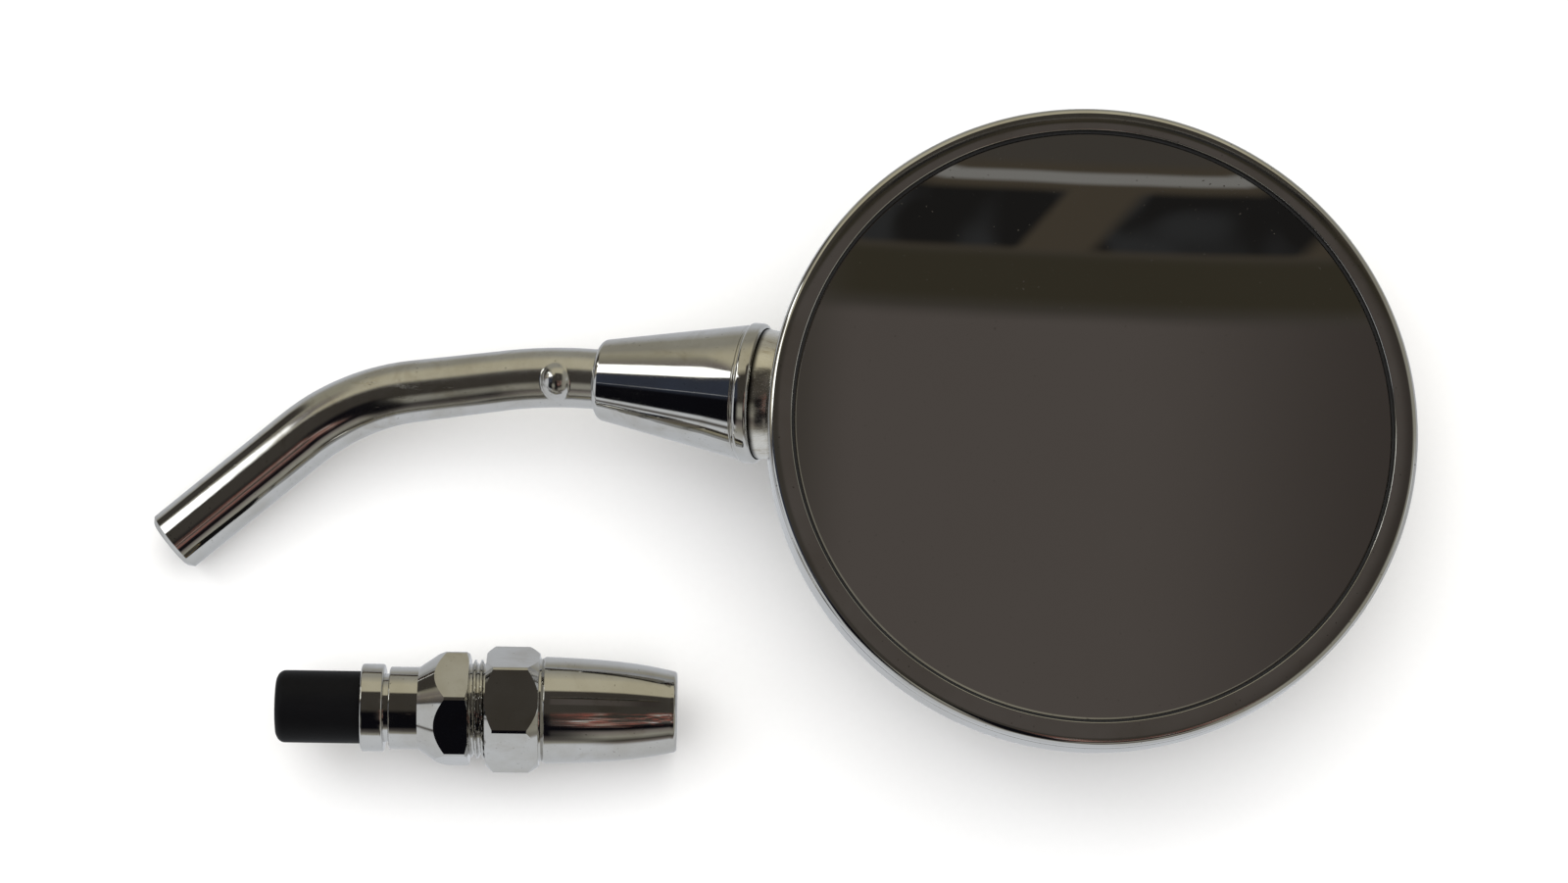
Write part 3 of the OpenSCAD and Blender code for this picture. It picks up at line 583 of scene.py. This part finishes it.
def coneProfile():
    c = cone
    slope = (c["mouth"] - c["narrow"]) / c["long"]
    afterLip = c["mouth"] - c["lip"] * slope
    lean = -math.degrees(math.atan(slope))
    seatStart = math.degrees(math.acos(c["pocket"] / c["ballSeat"]))
    outside = arc((c["mouth"] - c["edge"], -c["edge"]), c["edge"], 90, 0, 8)
    outside += rounded([
        (c["mouth"], -c["edge"] - 0.2, 0), (c["mouth"], -c["lip"] + 0.17, c["lipRound"]),
        (afterLip - c["step"], -c["lip"] + c["step"] / 2, 0.08),
        (afterLip - c["step"], -c["lip"] - c["step"], 0.08),
        (afterLip, -c["lip"] - 2 * c["step"], 0.15), (afterLip - 5 * slope, -c["lip"] - 5, 0)], 4)
    outside += arc((c["narrow"] - c["endRound"], -c["long"] + c["endRound"]), c["endRound"], lean, -90, 14)
    inside = [
        (c["rootBore"], -c["long"]), (c["rootBore"], c["webEnd"]), (c["boltHole"], c["webEnd"]),
        (c["boltHole"], c["pocketEnd"]), (c["pocket"], c["pocketEnd"]),
    ]
    return outside + inside + arc((0, 0), c["ballSeat"], -seatStart, 0, 24)


piece("coneHousing", lathe(coneProfile(), 256), armPlace, "clampChrome", "arm", ["cone_housing"],
      closed=True)
print("neck and cone made")


# Stem: a rod drawn down at the root, with two gentle bends and two pressed pips
stem = {
    "rootR": 4.6, "legR": 4.98, "seat": 5.2, "lead": 0.4, "rootRound": 0.3, "turn1": 11.8, "r1": 72.0,
    "swell": 14.3, "turn2": 33.8, "r2": 33.0, "leg": 25.83, "chamfer": 0.9,
    "pipOut": 6.0, "pipR": 2.9, "pipUp": 1.15, "pipSwing": 24.0, "pipBlend": 0.25, "pipRoom": 0.3,
    "fineTo": 9.6, "fineStep": 0.16, "step": 0.7, "around": 144, "point": 0.0001,
    "endCuts": ((0.85, 0.0), (0.72, 0.1), (0.12, 0.75), (0.0, 1.0), (0.0, 2.2)),  # (back, inward) chamfers
}


def stemLine(u, l1, l2, l3):
    # the rod's lean, its way to the side and its way along, u mm from where it leaves the cone
    t1 = math.radians(stem["turn1"])
    if u <= 0:
        return 0.0, 0.0, u
    a = min(u, l1) / stem["r1"]
    side, along = stem["r1"] * (1 - math.cos(a)), stem["r1"] * math.sin(a)
    if u > l1:
        run = min(u - l1, l2)
        side, along = side + run * math.sin(t1), along + run * math.cos(t1)
    if u > l1 + l2:
        a = t1 + min(u - l1 - l2, l3) / stem["r2"]
        side += stem["r2"] * (math.cos(t1) - math.cos(a))
        along += stem["r2"] * (math.sin(a) - math.sin(t1))
    if u > l1 + l2 + l3:
        run = u - l1 - l2 - l3
        side, along = side + run * math.sin(a), along + run * math.cos(a)
    return a, side, along


def pipped(u, x, y, radius):
    # the radius round the rod, raised where the two pips stand
    away = u - (stem["pipOut"] - stem["lead"])
    r = np.full(len(x), radius)
    if abs(away) >= stem["pipR"] + stem["pipRoom"]:
        return r
    centre, swing = stem["rootR"] + stem["pipUp"] - stem["pipR"], math.radians(stem["pipSwing"])
    across = x * math.cos(swing) + y * math.sin(swing)
    aside = y * math.cos(swing) - x * math.sin(swing)
    under = stem["pipR"] ** 2 - away ** 2 - (centre * aside) ** 2
    rise = np.where(under > 0, np.abs(centre * across) + np.sqrt(np.maximum(under, 0)), 0)
    blend = stem["pipBlend"]
    share = np.clip((rise - r) / blend, -1, 1)
    lifted = np.where(rise > r + blend, rise, r + blend * (share + 1) ** 2 / 4)
    return np.where(rise > 0, lifted, radius)


def stemRows():
    s = stem
    l1, l2, l3 = s["r1"] * math.radians(s["turn1"]), s["swell"], s["r2"] * math.radians(s["turn2"])
    bends, total = l1 + l2 + l3, l1 + l2 + l3 + s["leg"]
    start, root = -cone["long"] - s["lead"], -s["seat"] - s["lead"]
    angle = np.arange(s["around"]) * fullTurn / s["around"]
    x, y = np.cos(angle), np.sin(angle)

    def ring(u, radius):
        a, side, along = stemLine(u, l1, l2, l3)
        r = pipped(u, x, y, radius)
        return np.stack([r * x, -side + r * y * math.cos(a), start - along - r * y * math.sin(a)], axis=1)

    rows = [ring(root, s["point"]), ring(root, s["rootR"] - s["rootRound"]),
            ring(root + s["rootRound"], s["rootR"]), ring(-0.01, s["rootR"])]
    fine = np.arange(0.2, s["fineTo"], s["fineStep"])
    coarse = np.arange(s["fineTo"] + 0.2, bends, s["step"])
    for u in (*fine, *coarse):
        share = min(1, max(0, u - l1) / (l2 + 0.8 * l3))
        rows.append(ring(u, s["rootR"] + (s["legR"] - s["rootR"]) * share))
    for u in np.linspace(bends, total - s["chamfer"] - 0.12, 18):
        rows.append(ring(u, s["legR"]))
    for back, inward in s["endCuts"]:
        rows.append(ring(total - back * s["chamfer"], s["legR"] - inward * s["chamfer"]))
    return rows + [ring(total, s["point"])]


piece("stemTube", stemRows(), armPlace, "stemChrome", "arm", ["stem"], sharp=35)
print("stem made")


# Clamp: the origin is the middle of the rubber's end, and the height runs to the nose
clamp = {
    "rubberR": 5.5, "rubberL": 12.9, "rubberRound": 1.4, "drawBore": 2.7, "recess": 6.5, "wedgeR": 3.9,
    "wedgeRoom": 0.25, "mouthDeep": 0.8,
    "collarR": 6.65, "collarL": 3.5, "collarRound": 0.34, "spigot": 1.45, "collarWall": 1.42,
    "groove": 0.8, "barrelR": 6.25, "barrelL": 4.4, "barrelRound": 0.22,
    "hexAcross": 16.0, "hexL": 7.7, "flare": 0.68, "hexBevel": 0.8, "hexRuns": (0.6, 0.6),
    "threadR": 7.5, "pitch": 1.0, "threadDeep": 0.6, "threadShow": 2.6, "threadHidden": 3.8,
    "threadStep": 0.06,
    "nutAcross": 17.0, "nutL": 8.0, "nutBevel": 1.24, "nutRuns": (1.05, 1.45), "soften": 0.12,
    "noseL": 20.9, "noseR": 8.1, "noseEnd": 6.2, "noseStep": 0.3, "noseStart": 0.9, "stemBore": 5.05,
    "boreRoom": 0.15, "bodyBore": 6.0, "seat": 23.4, "nutBore": 7.6, "colletBack": 40.0, "colletEnd": 50.5,
    "colletCollarR": 7.0, "colletEndR": 5.8, "taperGap": 0.15, "around": 240,
}
collarA = clamp["rubberL"]
grooveA = collarA + clamp["collarL"]
barrelA = grooveA + clamp["groove"]
flareA = barrelA + clamp["barrelL"]
hexEndA = flareA + clamp["hexL"]
nutA = hexEndA + clamp["threadShow"]
bodyEndA = nutA + clamp["threadHidden"]
noseA = nutA + clamp["nutL"]
clampL = noseA + clamp["noseL"]
clampAngle = np.arange(clamp["around"]) * fullTurn / clamp["around"]


def clampRing(radius, along):
    return ringAt(radius, along, clampAngle)


def hexRadius(across, cornerAt):
    swing = np.mod(clampAngle - math.radians(cornerAt), math.pi / 3) - math.pi / 6
    return np.minimum(across / 2 / np.cos(swing), across / math.sqrt(3) - clamp["soften"])


def hexRows(radius, low, high, across, bevel, runs, coneR=None):
    # a hexagon's side between two turned chamfers, or above a turned cone that starts at coneR
    cut = np.maximum(0, radius - (across / math.sqrt(3) - bevel))
    start, meet = radius - cut, low + cut * runs[0]
    if coneR:
        start, meet = np.full_like(radius, coneR), low + (radius - coneR) / clamp["flare"]
    leave = high - cut * runs[1]
    rows = [clampRing(start + (radius - start) * t, low + (meet - low) * t) for t in np.linspace(0, 1, 8)]
    rows += [clampRing(radius, meet + (leave - meet) * t) for t in np.linspace(0.02, 0.98, 9)]
    return rows + [clampRing(radius - cut * t, leave + (high - leave) * t) for t in np.linspace(0, 1, 5)]


def threadRows(root):
    c = clamp
    rows = []
    for a in np.arange(hexEndA + 0.02, bodyEndA - 0.3, c["threadStep"]):
        phase = np.mod((a - hexEndA) / c["pitch"] - clampAngle / fullTurn, 1)
        crest = np.clip(1.5 - np.abs(phase - 0.5) * 4.2, 0, 1)
        runOut = min(1, (a - hexEndA) / 0.5)
        rows.append(clampRing(root + (c["threadR"] - root) * crest * runOut, a))
    return rows


def bodyRows():
    c = clamp
    spigot, root = c["collarR"] - c["spigot"], c["threadR"] - c["threadDeep"] * c["pitch"]
    step = rounded([(spigot, barrelA, 0), (c["barrelR"], barrelA, c["barrelRound"]),
                    (c["barrelR"], flareA, 0)], 5)
    line = [(spigot, collarA), (spigot, barrelA), *step[1:-1], (c["barrelR"], flareA - 2),
            (c["barrelR"], flareA - 0.05)]
    rows = [clampRing(r, z) for r, z in line]
    rows += hexRows(hexRadius(c["hexAcross"], 0), flareA, hexEndA, c["hexAcross"], c["hexBevel"],
                    c["hexRuns"], c["barrelR"])
    rows += [clampRing(root + 0.05, hexEndA)] + threadRows(root)
    return rows + [clampRing(r, z) for r, z in (
        (root, bodyEndA - 0.3), (root - 0.2, bodyEndA), (c["bodyBore"], bodyEndA),
        (c["bodyBore"], c["seat"]), (c["drawBore"], c["seat"]), (c["drawBore"], collarA))]


def nutRows():
    c = clamp
    rim = (c["noseEnd"] - c["stemBore"] - c["boreRoom"]) / 2 + 0.1
    rimA, startA, necked = clampL - rim, noseA + c["noseStart"], c["noseR"] - c["noseStep"]
    rows = hexRows(hexRadius(c["nutAcross"], 30), nutA, noseA, c["nutAcross"], c["nutBevel"], c["nutRuns"])
    line = rounded([(c["noseR"] + 0.1, noseA, 0), (necked, noseA, 0.1), (necked, noseA + 0.4, 0.1),
                    (c["noseR"], startA, 0.2), (c["noseR"] - 0.1, startA + 2, 0)], 4)[1:-1]
    for t in np.linspace(0.06, 1, 40):
        drop = (c["noseR"] - c["noseEnd"]) * (0.3 * t + 0.7 * t ** 3)
        line.append((c["noseR"] - drop, startA + t * (rimA - startA)))
    line += arc((c["noseEnd"] - rim, rimA), rim, 0, 90, 12)[1:]
    bore, gap = c["stemBore"] + c["boreRoom"], c["taperGap"]
    line += [(bore, clampL - 0.25), (bore, c["colletEnd"] + 1), (c["colletEndR"] + gap, c["colletEnd"]),
             (c["colletCollarR"] + gap, c["colletBack"]), (c["nutBore"], c["colletBack"]),
             (c["nutBore"], nutA)]
    return rows + [clampRing(r, z) for r, z in line]


def rubberProfile():
    c = clamp
    mouth, bore, end = c["wedgeR"] + c["wedgeRoom"], c["drawBore"], c["rubberL"] - 0.01
    return rounded([
        (bore, c["rubberL"], 0), (bore, c["recess"], 0), (mouth - c["mouthDeep"], c["recess"], 0),
        (mouth, c["mouthDeep"], 0), (mouth, 0, 0.3), (c["rubberR"], 0, c["rubberRound"] - 0.05),
        (c["rubberR"], 4, 0), (c["rubberR"], 8, 0), (c["rubberR"], end, 0.15), (bore, end, 0)], 8)


def collarProfile():
    c = clamp
    inner, edge = c["collarR"] - c["collarWall"], c["collarRound"]
    return rounded([(inner, collarA, 0), (c["collarR"], collarA, edge), (c["collarR"], grooveA, edge),
                    (inner, grooveA, 0)], 8)


piece("clampBody", bodyRows(), clampPlace, "clampChrome", "arm", ["clamp_body"], closed=True,
      sharp=24)
piece("clampNut", nutRows(), clampPlace, "clampChrome", "clamp_nut", ["clamp_nut"], closed=True,
      sharp=24)
piece("endCollar", lathe(collarProfile()), clampPlace, "clampChrome", "arm", ["end_collar"],
      closed=True)
rubber = piece("rubberSleeve", lathe(rubberProfile(), 144), clampPlace, "sleeveRubber", "arm",
               ["rubber_sleeve"], closed=True)
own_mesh(rubber)
print("clamp made")


# Studio
studio = {
    "floorSize": 16.0, "floorTone": (0.86, 0.86, 0.865), "floorShade": (0.84, 0.84, 0.845),
    "floorGrain": 900,
    "lightAt": (0.1, 0.25, 1.5), "lightSize": 5.0, "lightPower": 125,
}


def makeFloor():
    half, lowest = studio["floorSize"] / 2, min(0.0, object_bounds()[0].z)
    mesh = bpy.data.meshes.new("floor")
    corners = [(-half, -half), (half, -half), (half, half), (-half, half)]
    mesh.from_pydata([(x, y, lowest) for x, y in corners], [], [(0, 1, 2, 3)])
    paint = newFinish("floorPaper")
    grain = paint.noise(paint.where("Object"), studio["floorGrain"], 2, 0.5)
    paint.finish(Base_Color=paint.blend(grain, studio["floorTone"], studio["floorShade"]), Roughness=0.9,
                 Specular_IOR_Level=0.1)
    mesh.materials.append(finishes["floorPaper"])
    floor = linked("floor", mesh)
    floor.visible_glossy = False


def makeLight():  # wide and soft, from above, and not seen in the chrome
    data = bpy.data.lights.new("topSoft", "AREA")
    data.size = studio["lightSize"]
    data.energy = studio["lightPower"]
    lamp = linked("topSoft", data)
    lamp.location = studio["lightAt"]
    lamp.rotation_mode = "QUATERNION"
    lamp.rotation_quaternion = (-Vector(studio["lightAt"])).to_track_quat("-Z", "Y")
    lamp.visible_glossy = False


# What the chrome mirrors: a dim room, told as bands between the two horizons.
# Each side of it lists (tilt from overhead towards the back in degrees, tone),
# and joins tells where along x the sides go over into each other.
tones = {
    "black": (0.005, 0.005, 0.007), "navy": (0.042, 0.050, 0.072), "umber": (0.060, 0.054, 0.046),
    "smoke": (0.110, 0.100, 0.092), "fawn": (0.230, 0.205, 0.190), "stone": (0.370, 0.360, 0.310),
    "beige": (0.590, 0.550, 0.410), "dune": (0.370, 0.355, 0.280), "pale": (0.720, 0.745, 0.775),
    "fog": (0.580, 0.600, 0.630), "white": (2.5, 2.55, 2.5), "rust": (0.34, 0.11, 0.085),
    "wall": (0.098, 0.086, 0.078), "farWall": (0.055, 0.047, 0.042), "olive": (0.042, 0.037, 0.025),
    "plaster": (0.066, 0.055, 0.040), "picture": (0.014, 0.0135, 0.013),
    "pictureLight": (0.030, 0.031, 0.032), "rail": (0.26, 0.26, 0.25),
}
room = {
    "farLeft": [(-180, "fog"), (-110, "pale"), (-92, "pale"), (-87, "smoke"), (-84, "smoke"), (-80, "pale"),
                (-76, "pale"), (-72, "black"), (-30, "black"), (-18, "navy"), (8, "navy"), (16, "smoke"),
                (40, "fawn"), (62, "dune"), (88, "dune"), (104, "stone"), (125, "fog")],
    "left": [(-180, "fog"), (-105, "pale"), (-82, "stone"), (-70, "fawn"), (-62, "smoke"), (-54, "stone"),
             (-40, "stone"), (-28, "umber"), (17, "umber"), (28, "beige"), (58, "beige"), (84, "stone"),
             (104, "stone"), (125, "fog")],
    "middle": [(-180, "fog"), (-110, "pale"), (-90, "pale"), (-85, "stone"), (-77, "smoke"), (-66, "black"),
               (-24, "black"), (-14, "umber"), (31, "umber"), (35, "beige"), (60, "beige"), (82, "stone"),
               (104, "stone"), (125, "fog")],
    "right": [(-180, "fog"), (-110, "pale"), (-97, "pale"), (-90, "fawn"), (-83, "umber"), (-72, "stone"),
              (-60, "fawn"), (-54, "black"), (-46, "black"), (-40, "smoke"), (-28, "umber"), (-20, "umber"),
              (31, "umber"), (35, "beige"), (62, "beige"), (84, "stone"), (104, "stone"), (125, "fog")],
}
joins = {"left": (-0.52, -0.44), "middle": (-0.225, -0.195), "right": (0.02, 0.14)}
roomLook = {
    "wave": 3.5, "bend": 5, "farRight": (0.42, 0.62), "farRightHigh": (0.02, 0.8, 0.12),
    "darkWall": (-0.66, -0.58), "darkWallTilt": (60, 104, 5),
    "sash": (-0.985, -0.80, 0.01), "sashTilt": (-78, 10, 4),
    "line": (-20.5, -19.3, 0.5), "lineEnd": (-0.62, -0.55), "lineShare": 0.5,
    "glintHigh": (0.12, 0.5, 0.05), "glintRight": (0.66, 0.76), "glintBack": (-0.12, 0.16, 0.08),
}
window = {  # its right edge slants, and its upper part is narrower than its lower one
    "slant": 0.0063, "slantFrom": 20, "sway": 0.02, "edge": (-0.472, -0.452), "left": (-0.762, -0.746),
    "upperLeft": (-0.565, -0.545), "lower": (15.5, 36, 1.5), "upper": (36, 61, 1.5),
    "beside": (-0.90, -0.775, 0.008),
}
blotches = {  # small bright and rust-red things in front, seen on the nose of the nut
    "stretch": (5, 8, 8), "detail": 3, "rough": 0.55, "twist": 1.2, "tilt": (-46, -16, 4),
    "reach": (0.10, 0.5, 0.03), "cuts": [(0.50, 0.53, "rust"), (0.57, 0.59, "stone"), (0.63, 0.65, "pale")],
}
glassView = {  # what the flat glass shows: a wall with two dark pictures under a pale rail, by level
    "reach": (0.085, 0.42, 0.02), "high": (0.5, 0.6), "rise": 0.03, "lean": 0.8, "wallFades": (0.22, 0.36),
    "wall": (0.04, 0.256, 0.004),
    "bands": [((0.261, 0.286, 0.005), "olive"), ((0.286, 0.3265, 0.003), "plaster")],
    "pictures": (0.287, 0.314, 0.0025), "first": (0.10, 0.187, 0.004), "second": (0.222, 0.315, 0.006),
    "blur": 24, "blurCut": (0.42, 0.66), "rail": (0.3175, 0.3225, 0.0012), "railShare": 0.8,
}


def makeWorld():
    world = bpy.data.worlds.new("studio")
    bpy.context.scene.world = world
    paint = Paint(world)
    toward = paint.where("Generated")
    x, y, z = (paint.part(toward, k) for k in range(3))
    wave = paint.noise(toward, roomLook["wave"], 3, 0.6)
    tilt = paint.node("ShaderNodeMath", {"operation": "ARCTAN2"}, {0: y, 1: z}) * math.degrees(1)
    bent = tilt + (wave - 0.5) * roomLook["bend"]

    def band(value, low, high, soft):
        return paint.step(value, low - soft, low + soft) * (1 - paint.step(value, high - soft, high + soft))

    def side(name):
        stops = [(angle / 360 + 0.5, tones[tone]) for angle, tone in room[name]]
        return paint.ramp(bent * (1 / 360) + 0.5, stops)

    def over(sky, share, tone):
        return paint.blend(share, sky, tones[tone])

    sky = side("farLeft")
    for name, (low, high) in joins.items():
        sky = paint.blend(paint.step(x, low, high), sky, side(name))
    sky = over(sky, paint.step(x, *roomLook["farRight"]) * band(z, *roomLook["farRightHigh"]), "stone")

    edge = x + window["slant"] * (tilt - window["slantFrom"]) + (wave - 0.5) * window["sway"]
    darkWall = (1 - paint.step(x, *roomLook["darkWall"])) * band(tilt, *roomLook["darkWallTilt"])
    sky = over(sky, darkWall, "umber")
    lower, upper = band(bent, *window["lower"]), band(bent, *window["upper"])
    sky = over(sky, band(x, *window["beside"]) * lower, "beige")
    panes = lower * paint.step(x, *window["left"]) + upper * paint.step(edge, *window["upperLeft"])
    sky = over(sky, panes * (1 - paint.step(edge, *window["edge"])), "white")
    sky = over(sky, band(x, *roomLook["sash"]) * band(tilt, *roomLook["sashTilt"]), "pale")
    line = band(bent, *roomLook["line"]) * (1 - paint.step(x, *roomLook["lineEnd"]))
    sky = over(sky, line * roomLook["lineShare"], "pale")

    blotch = paint.noise(paint.stretch(toward, blotches["stretch"]), 1.0, blotches["detail"],
                         blotches["rough"], blotches["twist"])
    ahead = band(bent, *blotches["tilt"]) * band(x, *blotches["reach"])
    for low, high, tone in blotches["cuts"]:
        sky = over(sky, paint.step(blotch, low, high) * ahead, tone)
    glint = band(z, *roomLook["glintHigh"]) * paint.step(x, *roomLook["glintRight"])
    sky = over(sky, glint * band(y, *roomLook["glintBack"]), "pale")

    view = glassView
    seen = band(x, *view["reach"]) * paint.step(z, *view["high"])
    level = y + view["rise"] * (x - 0.2) + (wave - 0.5) * 0.008
    aslant = x - view["lean"] * (level - 0.3) + (wave - 0.5) * 0.02
    wall = paint.blend(paint.step(x, *view["wallFades"]), tones["wall"], tones["farWall"])
    sky = paint.blend(band(level, *view["wall"]) * seen, sky, wall)
    for reach, tone in view["bands"]:
        sky = over(sky, band(level, *reach) * seen, tone)
    blur = paint.step(paint.noise(toward, view["blur"], 1, 0.4, 0.6), *view["blurCut"])
    inside = paint.blend(blur, tones["picture"], tones["pictureLight"])
    pictures = band(aslant, *view["first"]) + band(aslant, *view["second"])
    sky = paint.blend(band(level, *view["pictures"]) * pictures * seen, sky, inside)
    sky = over(sky, band(level, *view["rail"]) * seen * view["railShare"], "rail")
    shine = paint.node("ShaderNodeBackground", {}, {"Color": sky, "Strength": 1.0})
    paint.node("ShaderNodeOutputWorld", {}, {"Surface": shine})


makeFloor()
makeWorld()
makeLight()
bpy.context.scene.view_settings.view_transform = "Standard"
print("studio set")
